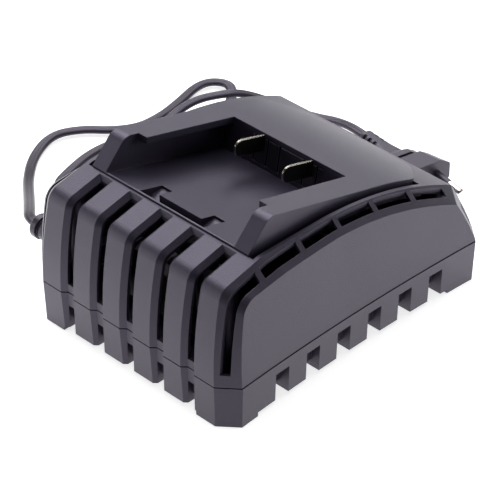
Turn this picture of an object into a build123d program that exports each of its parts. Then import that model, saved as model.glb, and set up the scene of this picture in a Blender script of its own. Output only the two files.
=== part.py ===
"""Mains charger for a slide-on tool battery.

The origin is at the bottom centre of the body: +X to the right, +Y to the rear, +Z up.
The battery slides down the sloping bay from the front towards the contact blades.
Side views are drawn as (depth behind the front, rise over the parting line of the shells).
"""

import os
from math import cos, hypot, pi, radians, sin, tan

from build123d import *

os.makedirs("parts", exist_ok=True)

# ---- body -------------------------------------------------------------------------------
BODY_LENGTH = 157.8
BODY_WIDTH = 120.2
PARTING_HEIGHT = 20.8  # from the table to the line where the two shells meet
WALL = 2.5
SEAM = 0.15  # clearance between mouldings that are fitted together
CORNER_WIDTH = 8.86  # of the chamfered corner, across the body
CORNER_DEPTH = 7.54  # of the chamfered corner, along the body
CORNER_LEAN = 1.7  # degrees, by which the corner fins narrow towards the top
WAIST = 2.2  # how far the side panels curve inwards
DRAFT = 2.0  # degrees
CORNER_X = BODY_WIDTH / 2 - CORNER_WIDTH

# ---- side view of the upper shell -----------------------------------------------------------
SHOULDER = (5.4, 43.8)  # where the front face and the top would meet
SHOULDER_RADIUS = 6.5
STRIP_START = (28.1, 48.9)
CROWN_START = (66.0, 48.6)
CROWN_MIDDLE = (101.0, 43.6)
REAR_EDGE_INSET = 14.6  # the rear top edge, in front of the rear foot of the shell
REAR_EDGE_RISE = 28.0
REAR_BULGE = (7.2, 15.0)  # a point of the rear face: in front of its foot, and up
PANEL_SHOULDER = (11.7, 38.5)
PANEL_CORNER_RADIUS = 8.0
PANEL_CROWN_START = (66.0, 38.5)
PANEL_CROWN_MIDDLE = (101.0, 33.9)
PANEL_REAR_INSET = 13.3
PANEL_REAR_RISE = 23.2
PANEL_BULGE = (5.8, 11.5)

# ---- front fins and vents -------------------------------------------------------------------
FIN_PITCH = 18.0
GROOVE_COUNT = 5
GROOVE_DEPTH = 2.1
GROOVE_FLOOR = 3.6
GROOVE_MOUTH = 8.1
FRONT_VENT_FOOT = 4.0  # rise of the lower end of the slots between the fins
GROOVE_END = 24.4  # depth at which the grooves run out, in front of the cradle's lip
GROOVE_RUNOUT = 1.2  # slant of their upper end
VENT_WALL = 1.4  # thickness of the wall round the vents
CORNER_VENT_FOOT = 6.0
CORNER_VENT_END = 22.3
BAND_VENTS = [(25.2, 46.4), (49.1, 68.3), (70.8, 90.1), (92.9, 112.9), (116.0, 135.1)]
BAND_VENT_INSET = (4.0, 7.6)  # outer and inner edge, in from the side panel's foot
BAND_VENT_FOOT = 28.0  # rise from which they are cut, up through the crown
BAND_VENT_MARGIN = 0.6  # of the thinner wall round them
REAR_VENT_RISES = (6.0, 18.0)

# ---- lower shell ----------------------------------------------------------------------------
FOOT_RISE = 2.0  # the ordinary feet end this far above the corner feet
UNDERSIDE = 5.8  # height of the base plate over the table
NOTCH_WIDTH = 8.0
NOTCH_DEPTH = 4.8
NOTCH_TOP = 5.3  # below the parting line
FRONT_NOTCH_TOP = 7.3
NOTCH_START = 28.0
NOTCH_PITCH = 18.83
NOTCH_COUNT = 6
FOOT_RING = 9.5  # depth of the ring of feet, in from the outside
CORNER_FOOT_X = GROOVE_COUNT // 2 * FIN_PITCH + GROOVE_MOUTH / 2
CORNER_FOOT_LENGTH = 17.5
REAR_FOOT_LENGTH = 23.1
SHADOW_DEPTH = 1.0  # the parting line shows as a fine groove
SHADOW_HEIGHT = 0.5
BOSS_RADIUS = 4.5
BOSS_X = CORNER_X - 7.3
BOSS_INSET = 16.0  # in from the front
REAR_BOSS_INSET = 19.8  # in from the rear
SCREW_RADIUS = 1.5
SCREW_HEAD_RADIUS = 2.8
SCREW_HEAD_HEIGHT = 2.0
SCREW_SEAT = 6.0  # from the base plate's underside up to the seat of the screw's head
SCREW_LENGTH = 19.0
FREE = 0.1  # clearance round a screw, a pin or a blade

# ---- battery cradle -------------------------------------------------------------------------
LIP_DEPTH = 25.5
LIP_WIDTH = 0.8
LIP_RISE = 49.2
COLLAR_HALF = CORNER_X - 5.74
CHANNEL_WIDTH = 2.5
CHANNEL_DEPTH = 3.4
FLANGE = 2.0
FLANGE_HALF = COLLAR_HALF + CHANNEL_WIDTH + 1.0
ARM_WIDTH = 8.0
BAY_HALF = COLLAR_HALF - ARM_WIDTH
RAIL_REACH = 4.85
RAIL_THICKNESS = 3.1
RAIL_START = 44.6
COLLAR_PEAK = (37.3, 61.7)  # where the front slope of the arms would meet the collar's top
COLLAR_PEAK_RADIUS = 6.0
COLLAR_BEND = (104.0, 44.6)
COLLAR_REAR = BODY_LENGTH - REAR_EDGE_INSET - 1.8
COLLAR_CUT = (14.5, 16.9)  # the cut rear corners: across and along
COLLAR_SWEEP = 2.4  # by which the rear edge leads its middle at the cut corners
CHANNEL_END = COLLAR_REAR - COLLAR_CUT[1] + 0.5
COLLAR_CORNER_RADIUS = 9.0
BAY_FOOT = (93.0, 30.2)
BAY_WALL_TOP = (96.0, 46.7)
LATCH_HALF = 18.6
LATCH_TONGUE_HALF = 12.3
LATCH_TROUGH = 32.0
LATCH_END = 39.5
LATCH_DEPTH = 4.2
LATCH_RAMP_DEPTH = 1.2  # of the ramps' upper end

# ---- contacts -------------------------------------------------------------------------------
BLADE_X = 14.0
BLADE_THICKNESS = 0.9
BLADE_HEIGHT = 8.0
BLADE_FRONT = 77.3
BLADE_TAIL = 12.0
BLADE_RADIUS = 3.4
BLOCK_HALF = 20.5
BLOCK_DEPTH = 8.0
BLOCK_GROOVES = [-19.0, -11.6, -4.6, 9.5, 17.0]
BLOCK_GROOVE_DEPTH = 4.0
BLOCK_FOOT = 32.0  # rise of the block's lower edge
BLADE_TOP = 51.3  # rise of the blades' front end
BLADE_TAIL_HEIGHT = 4.5

# ---- circuit board --------------------------------------------------------------------------
BOARD_DROP = 7.0  # from the parting line down to the board's underside
BOARD_THICKNESS = 1.6
BOARD_HALF = BODY_WIDTH / 2 - WAIST - NOTCH_DEPTH - WALL - 6.6
BOARD_START = 24.0
BOARD_END = BODY_LENGTH - 27.8
POST_RADIUS = 3.5
POST_INSET = 6.0
BOARD_SCREW_RADIUS = 1.25
BOARD_SCREW_LENGTH = 6.5
BOARD_TOP = BOARD_THICKNESS - BOARD_DROP
LEAD_RADIUS = 0.9
LEAD_BEND = 2.0

# ---- parts on the circuit board ---------------------------------------------------------------
BEAD = (2.0, 2.8, 3.6)  # foot, middle and head of the capacitors' rolled groove
BEAD_DEPTH = 0.6
CAN_EDGE = 0.8
SINK_BACK = 2.0
SINK_FIN = (7.0, 1.2)
SINK_FIN_COUNT = 5
PACKAGE_BODY = (10.0, 9.0, 4.4)
PACKAGE_TAB = (10.0, 6.4, 1.3)
PACKAGE_HOLE = (3.4, 1.8)  # rise over the tab's foot, radius
PACKAGE_LEG = (0.8, 4.0, 0.6)
PACKAGE_LEG_PITCH = 2.54
PACKAGE_LEG_DEPTH = 1.8  # from the back of the package
FUSE_RADIUS = 2.4
FUSE_HALF = 10.0
FUSE_CAP = (2.7, 2.0)  # radius, half length
FUSE_CLIP = (3.0, 4.2)  # width, rise of the fuse over the board
CHOKE_RING = (5.0, 8.0)
CHOKE_RING_RADIUS = 1.6
CHOKE_RING_MIDDLE = (6.6, 5.4)
CHOKE_BASE = (18.0, 1.6)
CORE = (25.0, 20.0)
CORE_HALF = 4.0
CORE_MIDDLE = 12.6  # rise over the board
CORE_WINDOW = (6.6, 13.6)
CORE_WINDOW_X = 7.1
BOBBIN = (22.0, 24.0, 2.4)
BOBBIN_POST = (16.0, 2.0, 3.6)
BOBBIN_POST_PITCH = 18.0
WINDING = (20.4, 20.0, 13.2)
WINDING_RADIUS = 5.0
WINDING_HOLE = (7.8, 8.2)

# ---- mains cord -----------------------------------------------------------------------------
CORD_DIAMETER = 5.2
GLAND_DEPTH = 25.9
GLAND_NECK_RADIUS = 4.6
GLAND_FLANGE_RADIUS = 6.8
GLAND_FLANGE = 2.2
GLAND_SEAT = WALL + 1.0  # from the outside of the wall to the gland's inner flange
GLAND_LENGTH = 24.0
GLAND_BASE_RADIUS = 6.8
GLAND_TIP_RADIUS = 5.0
GLAND_RING = 2.5
GLAND_GAP = 1.5
GLAND_RINGS = 5
CORD_INNER_LENGTH = 10.0

# ---- plug -----------------------------------------------------------------------------------
PLUG_X = -1.0
PLUG_BEHIND_BODY = 26.1  # from the body's rear to the middle of the plug's face
PLUG_TURN = -12.6  # degrees, about the vertical
PLUG_WIDTH = 33.6
PLUG_THICKNESS = 13.7
PLUG_END_WIDTH = 8.0  # of the flat ends of the plug's face
PLUG_SLANT = 5.0  # width of the slanted sides between the flats
PLUG_EDGE_RADIUS = 1.6
PLUG_HEAD = (12.5, 27.0, 12.4)  # distance behind the face, width, thickness
PLUG_GROOVE = (14.5, 22.0, 9.6)
PLUG_GRIP = (17.5, 20.0, 11.8)
PLUG_NECK = (21.0, 12.4, 8.8)
BOOT_START = (11.0, 8.4)
BOOT_MIDDLE = (29.0, 8.8, 7.4)
BOOT_TIP = (43.0, 7.2, 6.4)
BOOT_RADIUS = 2.8
BOOT_CORE = (4.6, 4.2)  # what the slots leave standing round the cord
BOOT_SLOT = 2.0
BOOT_SLOT_PITCH = 3.9
BOOT_SLOT_INSET = 1.6  # from the tip to the first slot
BOOT_SPINE = 3.0  # width left between the slots of the two sides
PIN_RADIUS = 2.0
PIN_LENGTH = 19.0
PIN_SLEEVE = 10.0
PIN_CORE_RADIUS = 1.5
PIN_PITCH = 18.8
PIN_TIP_RADIUS = 1.2

# ---- frames of reference ------------------------------------------------------------------
SIDE = Plane(origin=(0, -BODY_LENGTH / 2, PARTING_HEIGHT), x_dir=(0, 1, 0), z_dir=(1, 0, 0))
PLAN = Plane(origin=(0, -BODY_LENGTH / 2, PARTING_HEIGHT), x_dir=(1, 0, 0), z_dir=(0, 0, 1))
SKIRT = 6.0  # how far the shell's form is drawn past the parting line before it is trimmed
SKY = 50.0  # how far cuts that come from above reach over the parting line and the body
BASE = PLAN.offset(-PARTING_HEIGHT)
BOARD = PLAN.offset(BOARD_TOP)
gland_edge = BODY_LENGTH / 2 - GLAND_DEPTH + GLAND_BASE_RADIUS
waist_at_gland = WAIST * (1 - (gland_edge / (BODY_LENGTH / 2 - CORNER_DEPTH)) ** 2)
GLAND = Plane(
    origin=(waist_at_gland - BODY_WIDTH / 2, GLAND_DEPTH - BODY_LENGTH / 2, PARTING_HEIGHT),
    x_dir=(0, -1, 0),
    z_dir=(-1, 0, 0),
)


def finish(name, piece):
    """Label a finished piece and write it under its name."""
    piece.label = name
    export_step(piece, f"parts/{name}.step")


def closed_profile(front, shoulder, radius, tops, crown, rear_edge, bulge, foot):
    """Side view of the upper shell: leaning front, rounded shoulder, crown and sloping rear."""
    with BuildSketch() as profile:
        with BuildLine():
            TangentArc((front, 0), shoulder, tangent=(0, 1))
            Polyline(shoulder, *tops)
            ThreePointArc(tops[-1], crown, rear_edge)
            ThreePointArc(rear_edge, bulge, (foot, 0))
            Polyline((foot, 0), (foot, -SKIRT), (front, -SKIRT), (front, 0))
        make_face()
        fillet(profile.vertices().sort_by_distance((*shoulder, 0))[0], radius)
    return profile.sketch


def inboard_profile(inset):
    """Side view of the shell between the corners."""
    tops = [STRIP_START, CROWN_START]
    rear_edge = (BODY_LENGTH - REAR_EDGE_INSET, REAR_EDGE_RISE)
    bulge = (BODY_LENGTH - REAR_BULGE[0], REAR_BULGE[1])
    with BuildSketch() as profile:
        add(closed_profile(0, SHOULDER, SHOULDER_RADIUS, tops, CROWN_MIDDLE, rear_edge, bulge, BODY_LENGTH))
        if inset:
            offset(amount=-inset, kind=Kind.INTERSECTION)
    return profile.sketch


def outboard_profile(inset):
    """Side view of the shell at its side panels, lower and shorter than between the corners."""
    foot = BODY_LENGTH - CORNER_DEPTH
    tops = [(STRIP_START[0], PANEL_SHOULDER[1]), PANEL_CROWN_START]
    rear_edge = (foot - PANEL_REAR_INSET, PANEL_REAR_RISE)
    bulge = (foot - PANEL_BULGE[0], PANEL_BULGE[1])
    outline = closed_profile(
        CORNER_DEPTH, PANEL_SHOULDER, PANEL_CORNER_RADIUS, tops, PANEL_CROWN_MIDDLE, rear_edge, bulge, foot
    )
    with BuildSketch() as profile:
        add(outline)
        if inset:
            offset(amount=-inset, kind=Kind.INTERSECTION)
    return profile.sketch


def waist_cut(inset):
    """Plan view of what the waisted side panels leave away, on both sides."""
    edge = BODY_WIDTH / 2 - inset
    flare = WAIST * (1 / (1 - 2 * CORNER_DEPTH / BODY_LENGTH) ** 2 - 1)
    far = edge + 20
    with BuildSketch() as cut:
        with BuildLine():
            ThreePointArc((edge + flare, 0), (edge - WAIST, BODY_LENGTH / 2), (edge + flare, BODY_LENGTH))
            Polyline((edge + flare, BODY_LENGTH), (far, BODY_LENGTH), (far, 0), (edge + flare, 0))
        make_face()
        mirror(about=Plane.YZ)
    return cut.sketch


def body_form(inset):
    """The outer form of the upper shell, drawn inwards by an inset."""
    shift = inset * tan(radians(22.5))
    lean = Plane(
        origin=(CORNER_X - shift, 0, PARTING_HEIGHT),
        z_dir=(cos(radians(CORNER_LEAN)), 0, sin(radians(CORNER_LEAN))),
    )
    with BuildPart() as form:
        with BuildSketch(SIDE):
            add(inboard_profile(inset))
        extrude(amount=BODY_WIDTH / 2)
        split(bisect_by=lean, keep=Keep.BOTTOM)
        corner = form.faces().sort_by(Axis.X)[-1]
        with BuildSketch(SIDE.offset(BODY_WIDTH / 2 - shift)) as panel:
            add(outboard_profile(inset))
        loft(sections=[corner, panel.sketch.faces()[0]], ruled=True)
        mirror(about=Plane.YZ)
        with BuildSketch(PLAN.offset(-SKIRT)):
            add(waist_cut(inset))
        extrude(amount=SKY + SKIRT, taper=-DRAFT, mode=Mode.SUBTRACT)
    return form.part


def front_band(outer_inset, inner_inset, low, end):
    """Side view of a layer that follows the fins up the front and over the shoulder."""
    with BuildSketch() as band:
        add(inboard_profile(outer_inset))
        add(inboard_profile(inner_inset), mode=Mode.SUBTRACT)
        with Locations(((end - 10) / 2, (low + SKY + 10) / 2)):
            Rectangle(end + 10, SKY + 10 - low, mode=Mode.INTERSECT)
    return band.sketch


# ---- upper shell --------------------------------------------------------------------------
with BuildSketch() as mouth_section:
    slope = (GROOVE_MOUTH - GROOVE_FLOOR) / 2 / GROOVE_DEPTH
    overrun = 0.5
    with BuildLine():
        Polyline(
            (-GROOVE_FLOOR / 2, GROOVE_DEPTH),
            (-GROOVE_MOUTH / 2 - slope * overrun, -overrun),
            (GROOVE_MOUTH / 2 + slope * overrun, -overrun),
            (GROOVE_FLOOR / 2, GROOVE_DEPTH),
            close=True,
        )
    make_face()

front_edges = inboard_profile(0).edges().filter_by(
    lambda edge: edge.center().X < STRIP_START[0] and edge.center().Y > 0
)
front_path = SIDE.location * Wire(front_edges)  # runs from the top strip down to the parting line
strip_slope = (STRIP_START[1] - SHOULDER[1]) / (STRIP_START[0] - SHOULDER[0])
groove_stop = (GROOVE_END, SHOULDER[1] + (GROOVE_END - SHOULDER[0]) * strip_slope)
with BuildPart() as groove:
    with BuildSketch(Plane(origin=front_path @ 0, x_dir=(-1, 0, 0), z_dir=front_path % 0)):
        add(mouth_section.sketch)
    sweep(path=front_path)
    # the upper end runs out in a slant
    with BuildSketch(SIDE.offset(-GROOVE_MOUTH)):
        with BuildLine():
            Polyline(
                (groove_stop[0] + GROOVE_RUNOUT, groove_stop[1] + GROOVE_DEPTH),
                (groove_stop[0] - 2 * GROOVE_RUNOUT, groove_stop[1] - 2 * GROOVE_DEPTH),
                (BODY_LENGTH, groove_stop[1] - 2 * GROOVE_DEPTH),
                (BODY_LENGTH, SKY),
                (groove_stop[0] + GROOVE_RUNOUT, SKY),
                close=True,
            )
        make_face()
    extrude(amount=2 * GROOVE_MOUTH, mode=Mode.SUBTRACT)

groove_places = [
    (column * FIN_PITCH, 0, 0) for column in range(-(GROOVE_COUNT // 2), GROOVE_COUNT // 2 + 1)
]
foot_gaps = [
    (side, NOTCH_START + NOTCH_WIDTH / 2 + row * NOTCH_PITCH)
    for side in (-1, 1)
    for row in range(NOTCH_COUNT)
]
screw_places = [
    (side * BOSS_X, depth)
    for side in (-1, 1)
    for depth in (BOSS_INSET, BODY_LENGTH - REAR_BOSS_INSET)
]


board_posts = [
    (side * (BOARD_HALF - POST_INSET), depth)
    for side in (-1, 1)
    for depth in (BOARD_START + POST_INSET, BOARD_END - POST_INSET)
]


def cradle_outline(inset):
    """Plan view of the collar: straight sides and a rear edge with cut corners."""
    with BuildSketch() as outline:
        with BuildLine():
            Polyline(
                (0, LIP_DEPTH),
                (COLLAR_HALF, LIP_DEPTH),
                (COLLAR_HALF, COLLAR_REAR - COLLAR_CUT[1]),
                (COLLAR_HALF - COLLAR_CUT[0], COLLAR_REAR - COLLAR_SWEEP),
                (0, COLLAR_REAR),
            )
            mirror(about=Plane.YZ)
        make_face()
        rear = outline.vertices().filter_by(lambda corner: corner.Y > CHANNEL_END - 1)
        fillet(rear.filter_by(lambda corner: abs(corner.X) > 1), COLLAR_CORNER_RADIUS)
        if inset:
            offset(amount=-inset, kind=Kind.INTERSECTION)
    return outline.sketch


with BuildPart() as upper_shell:
    add(body_form(0))
    split(bisect_by=PLAN, keep=Keep.TOP)
    with BuildPart(mode=Mode.PRIVATE) as cavity:
        add(body_form(WALL))
        with BuildSketch(SIDE.offset(-BODY_WIDTH)):
            add(front_band(0, VENT_WALL + GROOVE_DEPTH, -SKIRT - 1, LIP_DEPTH))
        extrude(amount=2 * BODY_WIDTH, mode=Mode.SUBTRACT)
        with BuildPart(mode=Mode.PRIVATE) as thinning:
            with BuildSketch(PLAN):
                add(waist_cut(BAND_VENT_INSET[1] + BAND_VENT_MARGIN))
                add(waist_cut(BAND_VENT_INSET[0] - BAND_VENT_MARGIN), mode=Mode.SUBTRACT)
            extrude(amount=SKY)
            add(body_form(VENT_WALL), mode=Mode.INTERSECT)
        add(thinning.part)
    add(cavity.part, mode=Mode.SUBTRACT)
    with Locations(*groove_places):
        add(groove.part, mode=Mode.SUBTRACT)
    with BuildPart(mode=Mode.PRIVATE) as front_vent:
        with BuildSketch(SIDE.offset(-GROOVE_FLOOR / 2)):
            slot_end = GROOVE_END - GROOVE_RUNOUT
            add(front_band(GROOVE_DEPTH / 2, WALL + GROOVE_DEPTH, FRONT_VENT_FOOT, slot_end))
        extrude(amount=GROOVE_FLOOR)
    with Locations(*groove_places):
        add(front_vent.part, mode=Mode.SUBTRACT)
    with BuildSketch(PLAN.offset(BAND_VENT_FOOT)):
        add(waist_cut(BAND_VENT_INSET[1]))
        add(waist_cut(BAND_VENT_INSET[0]), mode=Mode.SUBTRACT)
        with BuildSketch(mode=Mode.PRIVATE) as vent_rows:
            for start, end in BAND_VENTS:
                with Locations((0, (start + end) / 2)):
                    Rectangle(BODY_WIDTH, end - start)
        add(vent_rows.sketch, mode=Mode.INTERSECT)
    extrude(amount=SKY, mode=Mode.SUBTRACT)
    with BuildSketch(PLAN.offset(CORNER_VENT_FOOT)):
        add(waist_cut(BAND_VENT_INSET[1]))
        add(waist_cut(BAND_VENT_INSET[0]), mode=Mode.SUBTRACT)
        with Locations((0, CORNER_VENT_END / 2)):
            Rectangle(BODY_WIDTH, CORNER_VENT_END, mode=Mode.INTERSECT)
    extrude(amount=SKY, mode=Mode.SUBTRACT)
    with BuildSketch(PLAN.offset(REAR_VENT_RISES[0])):
        add(waist_cut(BAND_VENT_INSET[1]))
        add(waist_cut(BAND_VENT_INSET[0]), mode=Mode.SUBTRACT)
        with Locations((0, BODY_LENGTH - CORNER_DEPTH)):
            Rectangle(BODY_WIDTH, 2 * CORNER_DEPTH, mode=Mode.INTERSECT)
    extrude(amount=REAR_VENT_RISES[1] - REAR_VENT_RISES[0], mode=Mode.SUBTRACT)
    with BuildSketch(PLAN.offset(REAR_VENT_RISES[1])):
        add(cradle_outline(-SEAM))
        with Locations((0, (LIP_DEPTH + CHANNEL_END) / 2)):
            Rectangle(2 * (COLLAR_HALF + CHANNEL_WIDTH), CHANNEL_END - LIP_DEPTH)
    extrude(amount=SKY, mode=Mode.SUBTRACT)
    with BuildPart(mode=Mode.PRIVATE) as bosses:
        with BuildSketch(PLAN.offset(-BOARD_DROP)):
            with Locations(*screw_places):
                Circle(BOSS_RADIUS)
                Circle(SCREW_RADIUS + FREE, mode=Mode.SUBTRACT)
        extrude(amount=SKY)
        add(body_form(WALL / 2), mode=Mode.INTERSECT)
        split(bisect_by=PLAN, keep=Keep.TOP)
    add(bosses.part)
    with BuildSketch(GLAND):
        Circle(GLAND_NECK_RADIUS)
    extrude(amount=-2 * BOSS_RADIUS, mode=Mode.SUBTRACT)
finish("upper_shell", upper_shell.part)


# ---- lower shell --------------------------------------------------------------------------
def plan_outline(inset):
    """Plan view of the body at the parting line: chamfered corners and waisted sides."""
    half = BODY_WIDTH / 2
    with BuildSketch() as outline:
        with BuildLine():
            Polyline((0, 0), (CORNER_X, 0), (half, CORNER_DEPTH))
            ThreePointArc(
                (half, CORNER_DEPTH), (half - WAIST, BODY_LENGTH / 2), (half, BODY_LENGTH - CORNER_DEPTH)
            )
            Polyline((half, BODY_LENGTH - CORNER_DEPTH), (CORNER_X, BODY_LENGTH), (0, BODY_LENGTH))
            mirror(about=Plane.YZ)
        make_face()
        if inset:
            offset(amount=-inset, kind=Kind.INTERSECTION)
    return outline.sketch


with BuildSketch() as shadow_section:
    add(mouth_section.sketch)
    offset(amount=SHADOW_DEPTH, kind=Kind.INTERSECTION)

with BuildPart() as lower_shell:
    with BuildSketch(PLAN):
        add(plan_outline(0))
    extrude(amount=-PARTING_HEIGHT, taper=DRAFT)
    # fins carry on down the front
    with BuildSketch(PLAN):
        with Locations(*groove_places):
            add(mouth_section.sketch)
    extrude(amount=-PARTING_HEIGHT, mode=Mode.SUBTRACT)
    # fine groove along the parting line
    with BuildSketch(PLAN):
        add(plan_outline(0))
        add(plan_outline(SHADOW_DEPTH), mode=Mode.SUBTRACT)
        with Locations(*groove_places):
            add(shadow_section.sketch)
    extrude(amount=-SHADOW_HEIGHT, mode=Mode.SUBTRACT)
    # tray for the circuit board
    with BuildSketch(PLAN):
        add(plan_outline(NOTCH_DEPTH + WALL))
    extrude(amount=-(PARTING_HEIGHT - UNDERSIDE - WALL), mode=Mode.SUBTRACT)
    # recess under the base plate, and the shorter feet between the corners
    with BuildSketch(BASE):
        add(plan_outline(FOOT_RING))
    extrude(amount=UNDERSIDE, mode=Mode.SUBTRACT)
    with BuildSketch(BASE):
        with Locations((0, BODY_LENGTH / 2)):
            Rectangle(2 * CORNER_FOOT_X, 2 * BODY_LENGTH)
        middle = (CORNER_FOOT_LENGTH + BODY_LENGTH - REAR_FOOT_LENGTH) / 2
        with Locations((0, middle)):
            Rectangle(2 * BODY_WIDTH, BODY_LENGTH - REAR_FOOT_LENGTH - CORNER_FOOT_LENGTH)
    extrude(amount=FOOT_RISE, mode=Mode.SUBTRACT)
    # notches between the feet: narrow in front, wide at the sides and behind
    with BuildSketch(PLAN.offset(-FRONT_NOTCH_TOP)):
        with Locations(*[(place[0], NOTCH_DEPTH / 2) for place in groove_places]):
            Rectangle(GROOVE_FLOOR, NOTCH_DEPTH)
    extrude(amount=-PARTING_HEIGHT, mode=Mode.SUBTRACT)
    notch_floor = BODY_WIDTH / 2 - WAIST - NOTCH_DEPTH
    side_notches = [(side * (notch_floor + NOTCH_WIDTH / 2), depth) for side, depth in foot_gaps]
    rear_notches = [(place[0], BODY_LENGTH - NOTCH_DEPTH + NOTCH_WIDTH / 2) for place in groove_places]
    with BuildSketch(PLAN.offset(-NOTCH_TOP)):
        with Locations(*side_notches, *rear_notches):
            Rectangle(NOTCH_WIDTH, NOTCH_WIDTH)
    extrude(amount=-PARTING_HEIGHT, mode=Mode.SUBTRACT)
    through = FOOT_RING + 1
    with BuildSketch(BASE):
        with Locations(*[(place[0], through / 2) for place in groove_places]):
            Rectangle(GROOVE_FLOOR, through)
        with Locations(*[(place[0], BODY_LENGTH - through / 2) for place in groove_places]):
            Rectangle(NOTCH_WIDTH, through)
        with Locations(*[(side * (BODY_WIDTH - through) / 2, depth) for side, depth in foot_gaps]):
            Rectangle(through, NOTCH_WIDTH)
    extrude(amount=UNDERSIDE, mode=Mode.SUBTRACT)
    # posts for the circuit board, and the bosses that the shell screws pass through
    tray_floor = PARTING_HEIGHT - UNDERSIDE - WALL
    with BuildSketch(PLAN.offset(-tray_floor)):
        with Locations(*board_posts):
            Circle(POST_RADIUS)
    extrude(amount=tray_floor - BOARD_DROP)
    with BuildSketch(PLAN.offset(-tray_floor)):
        with Locations(*screw_places):
            Circle(BOSS_RADIUS)
    extrude(amount=tray_floor)
    with BuildSketch(PLAN.offset(-BOARD_DROP)):
        with Locations(*board_posts):
            Circle(BOARD_SCREW_RADIUS + FREE)
    extrude(amount=-BOARD_SCREW_LENGTH, mode=Mode.SUBTRACT)
    with BuildSketch(PLAN):
        with Locations(*screw_places):
            Circle(SCREW_RADIUS + FREE)
    extrude(amount=-PARTING_HEIGHT, mode=Mode.SUBTRACT)
    with BuildSketch(BASE.offset(UNDERSIDE)):
        with Locations(*screw_places):
            Circle(SCREW_HEAD_RADIUS + 3 * FREE)
    extrude(amount=SCREW_SEAT, mode=Mode.SUBTRACT)
    # half of the cord's gland
    with BuildSketch(GLAND):
        Circle(GLAND_NECK_RADIUS)
    extrude(amount=-WALL - WAIST, mode=Mode.SUBTRACT)
    with BuildSketch(GLAND.offset(-GLAND_SEAT + FREE)):
        Circle(GLAND_FLANGE_RADIUS + SEAM)
    extrude(amount=-NOTCH_DEPTH - 2 * WALL, mode=Mode.SUBTRACT)
finish("lower_shell", lower_shell.part)


# ---- battery cradle -------------------------------------------------------------------------
def collar_profile(inset):
    """Side view of the collar: sloping front of the arms, flat top, and the fall to the rear."""
    rear_edge = (BODY_LENGTH - REAR_EDGE_INSET, REAR_EDGE_RISE)
    with BuildSketch() as profile:
        with BuildLine():
            Polyline((LIP_DEPTH, 0), (LIP_DEPTH, LIP_RISE), COLLAR_PEAK, COLLAR_BEND)
            TangentArc(COLLAR_BEND, rear_edge, tangent=Vector(*COLLAR_BEND) - Vector(*COLLAR_PEAK))
            Polyline(rear_edge, (rear_edge[0], 0), (LIP_DEPTH, 0))
        make_face()
        fillet(profile.vertices().sort_by_distance((*COLLAR_PEAK, 0))[0], COLLAR_PEAK_RADIUS)
        if inset:
            offset(amount=-inset, kind=Kind.INTERSECTION)
    return profile.sketch


def shell_layer(top, bottom):
    """Side view of a layer that lies under the shell's crown, between two distances from it."""
    with BuildSketch() as layer:
        add(inboard_profile(top))
        add(inboard_profile(bottom), mode=Mode.SUBTRACT)
        with Locations(((LIP_DEPTH + COLLAR_REAR) / 2, SKY / 2 + REAR_VENT_RISES[1])):
            Rectangle(COLLAR_REAR - LIP_DEPTH, SKY, mode=Mode.INTERSECT)
    return layer.sketch


def rail_rise(depth, drop):
    """Rise of a line that runs parallel to the collar's top, a distance under it."""
    run = COLLAR_BEND[0] - COLLAR_PEAK[0]
    fall = COLLAR_BEND[1] - COLLAR_PEAK[1]
    return COLLAR_PEAK[1] + (depth - COLLAR_PEAK[0]) * fall / run - drop * hypot(run, fall) / run


floor_slope = (BAY_FOOT[1] - STRIP_START[1]) / (BAY_FOOT[0] - LIP_DEPTH)


def floor_rise(depth, drop=0):
    """Rise of the bay's floor, or of a line parallel to it."""
    return BAY_FOOT[1] + (depth - BAY_FOOT[0]) * floor_slope - drop


def wall_depth_at(rise):
    """Depth of the bay's leaning rear wall at some rise."""
    return BAY_FOOT[0] + wall_lean * (rise - BAY_FOOT[1])


def block_profile(inset, length):
    """Side view of the terminal block or its window: the wall's lean, the collar's slope."""
    foot = BLOCK_FOOT + inset
    top = rail_rise(BAY_WALL_TOP[0], WALL + inset)
    front = wall_depth_at(top)
    with BuildSketch() as profile:
        with BuildLine():
            Polyline(
                (wall_depth_at(foot), foot),
                (front, rail_rise(front, WALL + inset)),
                (front + length, rail_rise(front + length, WALL + inset)),
                (front + length, foot),
                close=True,
            )
        make_face()
    return profile.sketch


lip_end = LIP_DEPTH + LIP_WIDTH
wall_lean = (BAY_WALL_TOP[0] - BAY_FOOT[0]) / (BAY_WALL_TOP[1] - BAY_FOOT[1])
tray_rear = BAY_WALL_TOP[0] + WALL

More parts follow.
